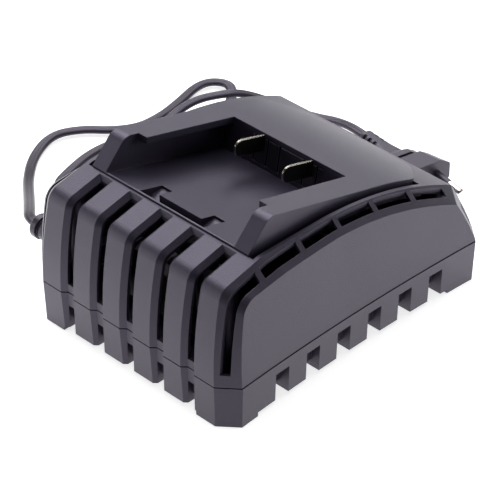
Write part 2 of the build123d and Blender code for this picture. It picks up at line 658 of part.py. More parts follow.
with BuildPart() as battery_cradle:
    # collar, hollow between its walls
    with BuildSketch(SIDE.offset(-COLLAR_HALF)):
        add(collar_profile(0))
        add(inboard_profile(CHANNEL_DEPTH + FLANGE), mode=Mode.SUBTRACT)
    extrude(amount=2 * COLLAR_HALF)
    with BuildSketch(PLAN):
        add(cradle_outline(0))
    extrude(amount=2 * SKY, mode=Mode.INTERSECT)
    # flange that is held under the rim of the upper shell
    with BuildPart(mode=Mode.PRIVATE) as flange:
        with BuildSketch(SIDE.offset(-FLANGE_HALF)):
            add(shell_layer(CHANNEL_DEPTH, CHANNEL_DEPTH + FLANGE))
        extrude(amount=2 * FLANGE_HALF)
        with BuildSketch(PLAN):
            add(cradle_outline(COLLAR_HALF - FLANGE_HALF + CHANNEL_WIDTH))
            with Locations((0, (LIP_DEPTH + CHANNEL_END) / 2)):
                Rectangle(2 * FLANGE_HALF, CHANNEL_END - LIP_DEPTH)
        extrude(amount=2 * SKY, mode=Mode.INTERSECT)
    add(flange.part)
    with BuildPart(mode=Mode.PRIVATE) as hollow:
        with BuildSketch(SIDE.offset(-COLLAR_HALF)):
            add(collar_profile(WALL))
            with Locations((LIP_DEPTH, 0)):
                Rectangle(BODY_LENGTH, BODY_WIDTH / 2, align=(Align.MIN, Align.MIN), mode=Mode.INTERSECT)
        extrude(amount=2 * COLLAR_HALF)
        with BuildSketch(PLAN):
            add(cradle_outline(WALL))
        extrude(amount=2 * SKY, mode=Mode.INTERSECT)
    add(hollow.part, mode=Mode.SUBTRACT)
    # tray of the bay, with a thicker floor round the latch pockets
    with BuildSketch(SIDE.offset(-BAY_HALF - WALL)):
        with BuildLine():
            Polyline(
                (LIP_DEPTH, floor_rise(LIP_DEPTH, WALL)),
                (LIP_DEPTH, LIP_RISE),
                COLLAR_PEAK,
                (tray_rear, rail_rise(tray_rear, 0)),
                (tray_rear - wall_lean * BLOCK_DEPTH, floor_rise(BAY_FOOT[0], WALL)),
                (BAY_FOOT[0], floor_rise(BAY_FOOT[0], WALL)),
                close=True,
            )
        make_face()
        add(collar_profile(0), mode=Mode.INTERSECT)
    extrude(amount=2 * (BAY_HALF + WALL))
    with BuildSketch(SIDE.offset(-LATCH_HALF - WALL)):
        with BuildLine():
            Polyline(
                (LIP_DEPTH, floor_rise(LIP_DEPTH, LATCH_DEPTH + WALL)),
                (LIP_DEPTH, floor_rise(LIP_DEPTH, 1)),
                (LATCH_END + WALL, floor_rise(LATCH_END + WALL, 1)),
                (LATCH_END + WALL, floor_rise(LATCH_END, LATCH_DEPTH + WALL)),
                close=True,
            )
        make_face()
    extrude(amount=2 * (LATCH_HALF + WALL))
    # bay: full width under the rails and in front of them, narrower between them
    with BuildSketch(SIDE.offset(-BAY_HALF)):
        with BuildLine():
            Polyline(
                (lip_end, floor_rise(lip_end)),
                BAY_FOOT,
                (BAY_WALL_TOP[0] - wall_lean * RAIL_THICKNESS, rail_rise(BAY_WALL_TOP[0], RAIL_THICKNESS)),
                (RAIL_START, rail_rise(RAIL_START, RAIL_THICKNESS)),
                (RAIL_START, 2 * SKY),
                (0, 2 * SKY),
                (0, LIP_RISE),
                (lip_end, LIP_RISE),
                close=True,
            )
        make_face()
    extrude(amount=2 * BAY_HALF, mode=Mode.SUBTRACT)
    with BuildSketch(SIDE.offset(RAIL_REACH - BAY_HALF)):
        top_depth = BAY_WALL_TOP[0] + wall_lean * SKY
        with BuildLine():
            Polyline(
                (RAIL_START - 1, rail_rise(RAIL_START, RAIL_THICKNESS + 1)),
                (RAIL_START - 1, 2 * SKY),
                (top_depth, BAY_WALL_TOP[1] + SKY),
                (BAY_WALL_TOP[0] - wall_lean * RAIL_THICKNESS, rail_rise(BAY_WALL_TOP[0], RAIL_THICKNESS)),
                close=True,
            )
        make_face()
    extrude(amount=2 * (BAY_HALF - RAIL_REACH), mode=Mode.SUBTRACT)
    # pockets for the battery's latch: a trough, with a ramp behind each of its ends
    ramp_width = LATCH_HALF - LATCH_TONGUE_HALF
    ramp_end = [(LATCH_END, floor_rise(LATCH_END, LATCH_RAMP_DEPTH)), (LATCH_END, LIP_RISE)]
    for start, width, end in (
        (-LATCH_HALF, ramp_width, ramp_end),
        (-LATCH_TONGUE_HALF, 2 * LATCH_TONGUE_HALF, [(LATCH_TROUGH, LIP_RISE)]),
        (LATCH_TONGUE_HALF, ramp_width, ramp_end),
    ):
        with BuildSketch(SIDE.offset(start)):
            with BuildLine():
                Polyline(
                    (lip_end, floor_rise(lip_end, LATCH_DEPTH)),
                    (LATCH_TROUGH, floor_rise(LATCH_TROUGH, LATCH_DEPTH)),
                    *end,
                    (lip_end, LIP_RISE),
                    close=True,
                )
            make_face()
        extrude(amount=width, mode=Mode.SUBTRACT)
    # window for the terminal block in the rear wall
    with BuildSketch(SIDE.offset(-BLOCK_HALF)):
        add(block_profile(0, 2 * BLOCK_DEPTH))
    extrude(amount=2 * BLOCK_HALF, mode=Mode.SUBTRACT)
finish("battery_cradle", battery_cradle.part)


# ---- contacts -------------------------------------------------------------------------------
def blade_rise(depth, drop):
    """Rise of a line that runs parallel to the bay's floor, a distance under the blades' top edge."""
    return BLADE_TOP + floor_slope * (depth - BLADE_FRONT) - drop


with BuildPart() as terminal_block:
    with BuildSketch(SIDE.offset(-BLOCK_HALF + SEAM)):
        add(block_profile(SEAM, BLOCK_DEPTH))
    extrude(amount=2 * (BLOCK_HALF - SEAM))
    with BuildSketch(PLAN):
        with Locations(*[(x, BAY_FOOT[0]) for x in BLOCK_GROOVES]):
            Rectangle(BLADE_THICKNESS, 2 * BLOCK_GROOVE_DEPTH)
    extrude(amount=SKY, mode=Mode.SUBTRACT)
    slot_half = BLADE_THICKNESS / 2 + FREE
    slot_end = BAY_FOOT[0] + 3 * BLOCK_DEPTH
    for side in (-1, 1):
        with BuildSketch(SIDE.offset(side * BLADE_X - slot_half)):
            with BuildLine():
                Polyline(
                    (BLADE_FRONT, blade_rise(BLADE_FRONT, BLADE_HEIGHT + FREE)),
                    (BLADE_FRONT, 2 * SKY),
                    (slot_end, 2 * SKY),
                    (slot_end, blade_rise(slot_end, BLADE_HEIGHT + FREE)),
                    close=True,
                )
            make_face()
        extrude(amount=2 * slot_half, mode=Mode.SUBTRACT)
finish("terminal_block", terminal_block.part)

tail_end = BAY_WALL_TOP[0] + BLADE_TAIL
with BuildSketch() as blade_profile:
    wall_depth = wall_depth_at(BAY_WALL_TOP[1]) - wall_lean - 3 * FREE
    tail_drop = BLADE_HEIGHT - BLADE_TAIL_HEIGHT
    with BuildLine():
        Polyline(
            (BLADE_FRONT, BLADE_TOP),
            (wall_depth, blade_rise(wall_depth, 0)),
            (wall_depth, blade_rise(wall_depth, tail_drop)),
            (tail_end, blade_rise(tail_end, tail_drop)),
            (tail_end, blade_rise(tail_end, BLADE_HEIGHT)),
            (BLADE_FRONT, blade_rise(BLADE_FRONT, BLADE_HEIGHT)),
            close=True,
        )
    make_face()
    fillet(blade_profile.vertices().sort_by(Axis.X)[:2], BLADE_RADIUS)
for side, pole in ((-1, "negative"), (1, "positive")):
    with BuildPart() as blade:
        with BuildSketch(SIDE.offset(side * BLADE_X - BLADE_THICKNESS / 2)):
            add(blade_profile.sketch)
        extrude(amount=BLADE_THICKNESS)
    finish(f"contact_blade_{pole}", blade.part)

# ---- circuit board and what it carries ------------------------------------------------------
with BuildPart() as circuit_board:
    with BuildSketch(BOARD):
        with Locations((0, (BOARD_START + BOARD_END) / 2)):
            RectangleRounded(2 * BOARD_HALF, BOARD_END - BOARD_START, 2)
        with Locations(*board_posts):
            Circle(BOARD_SCREW_RADIUS + FREE, mode=Mode.SUBTRACT)
    extrude(amount=-BOARD_THICKNESS)
finish("circuit_board", circuit_board.part)

with BuildPart() as board_screws:
    with BuildSketch(BOARD):
        with Locations(*board_posts):
            Circle(2 * BOARD_SCREW_RADIUS)
    extrude(amount=2 * BOARD_SCREW_RADIUS - 0.6)
    fillet(board_screws.edges().group_by(Axis.Z)[-1], 0.6)
    with BuildSketch(BOARD):
        with Locations(*board_posts):
            Circle(BOARD_SCREW_RADIUS)
    extrude(amount=-BOARD_SCREW_LENGTH)
finish("board_screws", board_screws.part)

with BuildPart() as shell_screws:
    with BuildSketch(BASE.offset(UNDERSIDE + SCREW_SEAT)):
        with Locations(*screw_places):
            Circle(SCREW_HEAD_RADIUS)
    extrude(amount=-SCREW_HEAD_HEIGHT)
    fillet(shell_screws.edges().group_by(Axis.Z)[0], 0.8)
    with BuildSketch(BASE.offset(UNDERSIDE + SCREW_SEAT)):
        with Locations(*screw_places):
            Circle(SCREW_RADIUS)
    extrude(amount=SCREW_LENGTH)
finish("shell_screws", shell_screws.part)


def board_place(x, depth, rise=0):
    """A working plane on top of the circuit board."""
    return Plane(origin=BOARD.from_local_coords((x, depth, rise)), x_dir=(1, 0, 0), z_dir=(0, 0, 1))


def standing_capacitor(name, place, radius, height):
    """An electrolytic capacitor: a sleeved can with a rolled groove above its seal."""
    with BuildPart() as can:
        with BuildSketch(Plane(origin=place.origin, x_dir=(1, 0, 0), z_dir=(0, -1, 0))):
            with BuildLine():
                Polyline((0, 0), (radius, 0), (radius, BEAD[0]), (radius - BEAD_DEPTH, BEAD[1]))
                Polyline((radius - BEAD_DEPTH, BEAD[1]), (radius, BEAD[2]), (radius, height))
                Polyline((radius, height), (0, height), (0, 0))
            make_face()
        revolve(axis=Axis(place.origin, (0, 0, 1)))
        fillet(can.edges().group_by(Axis.Z)[-1], CAN_EDGE)
    finish(name, can.part)


def finned_sink(name, place, length, height):
    """A comb-shaped aluminium heat sink that stands on edge."""
    with BuildPart() as sink:
        with BuildSketch(place):
            Rectangle(SINK_BACK, length, align=(Align.MIN, Align.CENTER))
            with Locations((SINK_BACK, 0)):
                with GridLocations(0, (length - SINK_FIN[1]) / (SINK_FIN_COUNT - 1), 1, SINK_FIN_COUNT):
                    Rectangle(*SINK_FIN, align=(Align.MIN, Align.CENTER))
        extrude(amount=height)
    finish(name, sink.part)


def flat_package(name, place):
    """A power semiconductor: moulded body, metal tab with a hole, three legs into the board."""
    tab_foot = PACKAGE_LEG[1] + PACKAGE_BODY[1]
    back = Plane(origin=place.origin, x_dir=(0, -1, 0), z_dir=(-1, 0, 0))
    with BuildPart() as package:
        with BuildSketch(back):
            with Locations((0, PACKAGE_LEG[1])):
                Rectangle(PACKAGE_BODY[0], PACKAGE_BODY[1], align=(Align.CENTER, Align.MIN))
        extrude(amount=PACKAGE_BODY[2])
        with BuildSketch(back):
            with Locations((0, tab_foot)):
                Rectangle(PACKAGE_TAB[0], PACKAGE_TAB[1], align=(Align.CENTER, Align.MIN))
            with Locations((0, tab_foot + PACKAGE_HOLE[0])):
                Circle(PACKAGE_HOLE[1], mode=Mode.SUBTRACT)
        extrude(amount=PACKAGE_TAB[2])
        with BuildSketch(back.offset(PACKAGE_LEG_DEPTH)):
            with GridLocations(PACKAGE_LEG_PITCH, 0, 3, 1):
                Rectangle(PACKAGE_LEG[0], PACKAGE_LEG[1], align=(Align.CENTER, Align.MIN))
        extrude(amount=PACKAGE_LEG[2])
    finish(name, package.part)


def rounded_block(name, place, size, radius):
    """A box-shaped part with rounded upper edges."""
    with BuildPart() as block:
        with BuildSketch(place):
            Rectangle(size[0], size[1])
        extrude(amount=size[2])
        fillet(block.edges().group_by(Axis.Z)[-1], radius)
    finish(name, block.part)


standing_capacitor("mains_capacitor", board_place(-24, 92), 9.0, 28.0)
standing_capacitor("output_capacitor_left", board_place(19, 106), 5.0, 20.0)
standing_capacitor("output_capacitor_right", board_place(32, 106), 5.0, 20.0)
finned_sink("primary_heat_sink", board_place(8, 48), 22.0, 24.0)
finned_sink("secondary_heat_sink", board_place(33, 76), 30.0, 22.0)
flat_package("switching_transistor", board_place(8, 48))
flat_package("output_diode", board_place(33, 76))
rounded_block("interference_capacitor", board_place(-6, 34), (18.0, 7.0, 14.0), 0.6)
rounded_block("bridge_rectifier", board_place(-8, 54), (14.0, 4.0, 11.0), 0.4)
rounded_block("controller_chip", board_place(4, 112), (10.0, 6.4, 3.4), 0.3)
rounded_block("optocoupler", board_place(-6, 100), (6.5, 4.6, 3.4), 0.3)
rounded_block("mains_connector", board_place(-36, 42), (10.0, 7.0, 10.0), 0.5)
rounded_block("output_connector", board_place(-6, 121), (12.0, 7.0, 9.0), 0.5)

with BuildPart() as fuse:
    fuse_axis = Plane(origin=board_place(-24, 42, FUSE_CLIP[1]).origin, x_dir=(1, 0, 0), z_dir=(0, 1, 0))
    with BuildSketch(fuse_axis):
        Circle(FUSE_RADIUS)
    extrude(amount=FUSE_HALF, both=True)
    for end in (-1, 1):
        with BuildSketch(fuse_axis.offset(end * (FUSE_HALF - FUSE_CAP[1]))):
            Circle(FUSE_CAP[0])
            Rectangle(*FUSE_CLIP, align=(Align.CENTER, Align.MIN))
        extrude(amount=FUSE_CAP[1], both=True)
finish("mains_fuse", fuse.part)

with BuildPart() as choke:
    choke_place = board_place(-25, 67)
    with BuildSketch(Plane(origin=choke_place.origin, x_dir=(1, 0, 0), z_dir=(0, -1, 0))):
        with Locations(CHOKE_RING_MIDDLE):
            RectangleRounded(*CHOKE_RING, CHOKE_RING_RADIUS)
    revolve(axis=Axis(choke_place.origin, (0, 0, 1)))
    with BuildSketch(choke_place):
        Rectangle(CHOKE_BASE[0], CHOKE_BASE[0])
    extrude(amount=CHOKE_BASE[1])
finish("common_mode_choke", choke.part)

with BuildPart() as transformer_core:
    transformer_place = board_place(12, 80)
    with BuildSketch(Plane(origin=transformer_place.origin, x_dir=(1, 0, 0), z_dir=(0, -1, 0))):
        with Locations((0, CORE_MIDDLE)):
            Rectangle(*CORE)
            with Locations((-CORE_WINDOW_X, 0), (CORE_WINDOW_X, 0)):
                Rectangle(*CORE_WINDOW, mode=Mode.SUBTRACT)
    extrude(amount=CORE_HALF, both=True)
finish("transformer_core", transformer_core.part)

with BuildPart() as transformer_winding:
    with BuildSketch(transformer_place):
        Rectangle(BOBBIN[0], BOBBIN[1])
    extrude(amount=BOBBIN[2])
    with BuildSketch(transformer_place.offset(BOBBIN[2] + BOBBIN_POST[2])):
        RectangleRounded(WINDING[0], WINDING[1], WINDING_RADIUS)
        Rectangle(*WINDING_HOLE, mode=Mode.SUBTRACT)
    extrude(amount=WINDING[2])
    with BuildSketch(transformer_place.offset(BOBBIN[2])):
        with GridLocations(0, BOBBIN_POST_PITCH, 1, 2):
            Rectangle(BOBBIN_POST[0], BOBBIN_POST[1])
    extrude(amount=BOBBIN_POST[2])
finish("transformer_winding", transformer_winding.part)


# ---- leads inside the housing ---------------------------------------------------------------
def lead(name, points, radius, bend):
    """An insulated wire along straight runs joined by arcs."""
    with BuildPart() as wire:
        with BuildLine():
            route = FilletPolyline(*points, radius=bend)
        with BuildSketch(Plane(origin=route @ 0, z_dir=route % 0)):
            Circle(radius)
        sweep(path=route)
    finish(name, wire.part)


connector_top = board_place(-6, 121, 9.0).origin
for side, pole in ((-1, "negative"), (1, "positive")):
    start = connector_top + (side * 2.5, 0, 0)
    tail_middle = blade_rise(tail_end, BLADE_HEIGHT - BLADE_TAIL_HEIGHT / 2)
    tail = SIDE.from_local_coords((tail_end, tail_middle, side * BLADE_X))
    route_points = [start, start + (0, 0, 14), tail + (0, 5.0, -8), tail + (0, 4.0, 0), tail]
    lead(f"output_lead_{pole}", route_points, LEAD_RADIUS, LEAD_BEND)

# ---- cord gland and clamp -------------------------------------------------------------------
with BuildPart() as strain_relief:
    with BuildSketch(GLAND):
        Circle(GLAND_NECK_RADIUS - FREE)
    extrude(amount=-GLAND_SEAT)
    with BuildSketch(GLAND.offset(-GLAND_SEAT)):
        Circle(GLAND_FLANGE_RADIUS)
    extrude(amount=-GLAND_FLANGE)
    core_tip = GLAND_TIP_RADIUS - 1.0
    with BuildSketch(GLAND):
        Circle(GLAND_BASE_RADIUS - 1.0)
    with BuildSketch(GLAND.offset(GLAND_LENGTH)):
        Circle(core_tip)
    loft(ruled=True)
    for ring in range(GLAND_RINGS):
        start = ring * (GLAND_RING + GLAND_GAP)
        radius = GLAND_BASE_RADIUS + (GLAND_TIP_RADIUS - GLAND_BASE_RADIUS) * ring / (GLAND_RINGS - 1)
        with BuildSketch(GLAND.offset(start)):
            Circle(radius)
        extrude(amount=GLAND_RING)
    # the widest ring closes the tip
    with BuildSketch(GLAND.offset(GLAND_LENGTH - 1.4 * GLAND_RING)):
        Circle(GLAND_TIP_RADIUS + 0.6)
    extrude(amount=1.4 * GLAND_RING)
    fillet(strain_relief.edges().group_by(Axis.X)[0], 0.8)
finish("strain_relief", strain_relief.part)

clamp_x = GLAND.origin.X + GLAND_SEAT + GLAND_FLANGE + 3.2
with BuildPart() as cord_clamp:
    clamp_foot = (clamp_x, GLAND.origin.Y, UNDERSIDE + WALL)
    with BuildSketch(Plane(origin=clamp_foot, x_dir=(0, 1, 0), z_dir=(1, 0, 0))):
        Rectangle(10.0, PARTING_HEIGHT - UNDERSIDE - WALL + 5.0, align=(Align.CENTER, Align.MIN))
        with Locations((0, PARTING_HEIGHT - UNDERSIDE - WALL)):
            Circle(CORD_DIAMETER / 2 + FREE, mode=Mode.SUBTRACT)
    extrude(amount=3.6)
finish("cord_clamp", cord_clamp.part)

tail_start = GLAND.offset(-GLAND_SEAT - GLAND_FLANGE)
with BuildPart() as cord_tail:
    with BuildSketch(tail_start):
        Circle(CORD_DIAMETER / 2)
    extrude(amount=-CORD_INNER_LENGTH)
finish("cord_inner_end", cord_tail.part)

cord_end = tail_start.offset(-CORD_INNER_LENGTH).origin
mains_connector_top = board_place(-36, 42, 10.0).origin
for side, phase in ((-1, "neutral"), (1, "live")):
    root = cord_end + (0, side * 1.3, 0)
    socket = mains_connector_top + (-side * 2.5, 0, 0)
    route_points = [root, root + (5, 0, 0), socket + (0, -6, 4), socket + (0, 0, 6), socket]
    lead(f"mains_lead_{phase}", route_points, LEAD_RADIUS, LEAD_BEND)

# ---- mains plug -----------------------------------------------------------------------------
heading = radians(PLUG_TURN)
PLUG = Plane(
    origin=(PLUG_X, BODY_LENGTH / 2 + PLUG_BEHIND_BODY, PLUG_THICKNESS / 2),
    x_dir=(-sin(heading), cos(heading), 0),
    z_dir=(cos(heading), sin(heading), 0),
)


def plug_face(behind, width, thickness):
    """Section of the flat plug, some way behind its face: slanted sides that end in short flats."""
    half_flat = (PLUG_END_WIDTH + thickness - PLUG_THICKNESS) / 2
    with BuildSketch(PLUG.offset(-behind)) as face:
        with BuildLine():
            Polyline(
                (-width / 2, half_flat),
                (-width / 2 + PLUG_SLANT, thickness / 2),
                (width / 2 - PLUG_SLANT, thickness / 2),
                (width / 2, half_flat),
                (width / 2, -half_flat),
                (width / 2 - PLUG_SLANT, -thickness / 2),
                (-width / 2 + PLUG_SLANT, -thickness / 2),
                (-width / 2, -half_flat),
                close=True,
            )
        make_face()
        fillet(face.vertices(), PLUG_EDGE_RADIUS)
    return face.sketch.faces()[0]


def boot_section(behind, width, thickness):
    """Section of the boot, some way behind the plug's face."""
    with BuildSketch(PLUG.offset(-behind)) as section:
        RectangleRounded(width, thickness, BOOT_RADIUS)
    return section.sketch.faces()[0]


with BuildPart() as plug_body:
    loft(sections=[plug_face(0, PLUG_WIDTH, PLUG_THICKNESS), plug_face(*PLUG_HEAD)], ruled=True)
    loft(sections=[plug_face(PLUG_HEAD[0], *PLUG_GROOVE[1:]), plug_face(*PLUG_GROOVE)], ruled=True)
    loft(sections=[plug_face(PLUG_GROOVE[0], *PLUG_GRIP[1:]), plug_face(*PLUG_GRIP)], ruled=True)
    loft(sections=[plug_face(*PLUG_GRIP), plug_face(*PLUG_NECK)], ruled=True)
finish("plug_body", plug_body.part)

with BuildPart() as plug_boot:
    loft(sections=[boot_section(PLUG_NECK[0], *BOOT_START), boot_section(*BOOT_MIDDLE)], ruled=True)
    loft(sections=[boot_section(*BOOT_MIDDLE), boot_section(*BOOT_TIP)], ruled=True)
    with BuildSketch(PLUG.offset(BOOT_SLOT_INSET - BOOT_TIP[0])):
        Rectangle(PLUG_WIDTH, PLUG_WIDTH)
        Rectangle(BOOT_SPINE, PLUG_WIDTH, mode=Mode.SUBTRACT)
        Rectangle(*BOOT_CORE)
    slot = extrude(amount=BOOT_SLOT, mode=Mode.PRIVATE)
    for row in range(3):
        add(slot.moved(Location(PLUG.z_dir * row * BOOT_SLOT_PITCH)), mode=Mode.SUBTRACT)
finish("plug_boot", plug_boot.part)

for side, name in ((-1, "near"), (1, "far")):
    with BuildPart() as pin:
        with BuildSketch(PLUG.offset(PIN_SLEEVE)):
            with Locations((side * PIN_PITCH / 2, 0)):
                Circle(PIN_RADIUS)
        extrude(amount=PIN_LENGTH - PIN_SLEEVE)
        fillet(pin.edges().filter_by(GeomType.CIRCLE).sort_by(Axis(PLUG.origin, PLUG.z_dir))[-1], PIN_TIP_RADIUS)
        with BuildSketch(PLUG):
            with Locations((side * PIN_PITCH / 2, 0)):
                Circle(PIN_CORE_RADIUS)
        extrude(amount=PIN_SLEEVE)
    finish(f"plug_pin_{name}", pin.part)
    with BuildPart() as sleeve:
        with BuildSketch(PLUG):
            with Locations((side * PIN_PITCH / 2, 0)):
                Circle(PIN_RADIUS)
                Circle(PIN_CORE_RADIUS, mode=Mode.SUBTRACT)
        extrude(amount=PIN_SLEEVE)
    finish(f"pin_sleeve_{name}", sleeve.part)

# ---- cord outside the housing -----------------------------------------------------------------
HANK_BESIDE_BODY = 22.7  # from the body's side to the middle of the hank
HANK_CENTRE = (-BODY_WIDTH / 2 - HANK_BESIDE_BODY, 35.0)
HANK_LENGTH = 90.0
HANK_FOLD = 37.0  # between the middles of the outer strands at the hank's sides
HANK_HEIGHT = 11.5
TIE_BAND = 0.8
HANK_BUNDLE = 10.6


def cord_tube(name, points):
    """A length of cord along straight runs joined by tangent arcs as wide as the runs allow."""
    corners = [Vector(*point) for point in points]
    radii = []
    for before, corner, after in zip(corners, corners[1:], corners[2:]):
        turn = (corner - before).get_angle(after - corner)
        shorter = min((corner - before).length, (after - corner).length)
        radii.append(0.45 * shorter / tan(radians(turn) / 2))
    with BuildPart() as tube:
        with BuildLine():
            route = FilletPolyline(*corners, radius=radii)
        with BuildSketch(Plane(origin=route @ 0, z_dir=route % 0)):
            Circle(CORD_DIAMETER / 2)
        sweep(path=route)
    section = pi * CORD_DIAMETER**2 / 4
    print(name, "radii", [round(radius, 1) for radius in radii], "length", round(route.length, 1))
    print(name, "volume over section times length", round(tube.part.volume / section / route.length, 4))
    finish(name, tube.part)


gland_tip = GLAND.offset(GLAND_LENGTH).origin
plug_end = PLUG.offset(-BOOT_TIP[0]).origin
cord_tube(
    "cord_to_hank",
    [
        gland_tip,
        gland_tip - (8.0, 0, 0),
        (-101.5, -45.5, 16.8),
        (-115.0, -32.0, 10.6),
        (-132.0, -17.5, 4.6),
        (-146.5, -1.5, 2.6),
        (-154.0, 16.5, 2.7),
        (-147.5, 30.0, 2.6),
        (-137.0, 38.5, 2.7),
        (-129.5, 50.0, 2.6),
        (-128.8, 64.0, 2.7),
        (-131.8, 79.0, 2.6),
        (-136.0, 94.0, 2.7),
        (-134.5, 103.0, 2.6),
        (-126.0, 107.5, 2.7),
        (-118.5, 101.5, 2.6),
        (-111.8, 92.5, 2.7),
        (-102.0, 85.5, 2.8),
        (HANK_CENTRE[0] - 8.7, HANK_CENTRE[1] + HANK_LENGTH / 2, 3.5),
    ],
)
cord_tube(
    "cord_to_plug",
    [
        (HANK_CENTRE[0] - 2.0, HANK_CENTRE[1] - HANK_LENGTH / 2 + 3.0, 9.2),
        (-98.0, -8.5, 8.0),
        (-112.0, -14.0, 4.5),
        (-121.5, -9.0, 2.8),
        (-125.8, 4.0, 2.6),
        (-128.9, 17.0, 2.7),
        (-128.6, 31.0, 2.6),
        (-123.5, 43.5, 2.7),
        (-119.8, 53.5, 2.9),
        (-123.8, 67.5, 5.0),
        (-120.5, 79.0, 9.0),
        (-113.5, 88.5, 10.8),
        (-108.3, 96.0, 10.8),
        (-101.5, 105.0, 6.4),
        (-90.0, 111.0, 2.8),
        (-76.0, 115.0, 2.7),
        (-65.0, 118.6, 3.8),
        plug_end - PLUG.z_dir * 8.0,
        plug_end,
    ],
)

with BuildPart() as cord_hank:
    with BuildSketch(Plane.XY.offset(TIE_BAND + FREE)):
        with Locations(HANK_CENTRE):
            SlotOverall(HANK_LENGTH, HANK_FOLD + CORD_DIAMETER, rotation=90)
            SlotOverall(
                HANK_LENGTH - 2 * HANK_BUNDLE,
                HANK_FOLD + CORD_DIAMETER - 2 * HANK_BUNDLE,
                rotation=90,
                mode=Mode.SUBTRACT,
            )
    extrude(amount=HANK_HEIGHT)
    fillet(cord_hank.edges().group_by(Axis.Z)[-1], 3.0)
    fillet(cord_hank.edges().group_by(Axis.Z)[0], 3.0)
finish("cord_hank", cord_hank.part)

with BuildPart() as hank_tie:
    middle = TIE_BAND + FREE + HANK_HEIGHT / 2
    inner_width = HANK_FOLD + CORD_DIAMETER + 2 * FREE
    inner_height = HANK_HEIGHT + 2 * FREE
    with BuildSketch(Plane(origin=(*HANK_CENTRE, middle), x_dir=(1, 0, 0), z_dir=(0, -1, 0))):
        RectangleRounded(inner_width + 2 * TIE_BAND, inner_height + 2 * TIE_BAND, 2.0 + TIE_BAND)
        RectangleRounded(inner_width, inner_height, 2.0, mode=Mode.SUBTRACT)
    extrude(amount=4.0, both=True)
finish("hank_tie", hank_tie.part)
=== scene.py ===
"""Looks of a mains charger for a slide-on tool battery.

The housing, the battery bay, the parts on the circuit board and the plug are the solids of the frame,
dressed in their finishes, some darkened as painted shade and some edges paled as painted highlight.
The mains cord is a new piece, with the hank that its spare length is wound into. Everything is in
metres, in the frame's own coordinates.
"""

import logging
import math
from dataclasses import dataclass, field
from enum import Enum
from functools import cache

import bmesh
import bpy
from mathutils import Matrix, Vector


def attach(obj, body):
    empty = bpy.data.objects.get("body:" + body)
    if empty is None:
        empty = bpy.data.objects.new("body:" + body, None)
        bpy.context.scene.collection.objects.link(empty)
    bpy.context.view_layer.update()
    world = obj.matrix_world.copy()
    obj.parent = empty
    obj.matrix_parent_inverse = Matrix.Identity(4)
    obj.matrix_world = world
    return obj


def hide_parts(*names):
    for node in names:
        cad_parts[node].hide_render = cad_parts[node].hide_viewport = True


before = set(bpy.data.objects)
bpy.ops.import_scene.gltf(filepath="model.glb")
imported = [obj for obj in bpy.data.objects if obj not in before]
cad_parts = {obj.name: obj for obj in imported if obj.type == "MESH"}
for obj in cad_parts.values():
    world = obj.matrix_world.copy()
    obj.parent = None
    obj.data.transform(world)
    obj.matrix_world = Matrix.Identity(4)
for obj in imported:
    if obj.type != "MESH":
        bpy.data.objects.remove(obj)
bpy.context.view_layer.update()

LOG = logging.getLogger("charger")
Colour = tuple[float, float, float]
Point = tuple[float, float, float]
Socket = bpy.types.NodeSocket
Value = Socket | float | tuple[float, ...]  # a socket to link from, or the constant itself


# ---- nodes --------------------------------------------------------------------------------------
MIX_FIRST, MIX_SECOND, MIX_RESULT = 6, 7, 2  # places of a colour Mix node's colour sockets


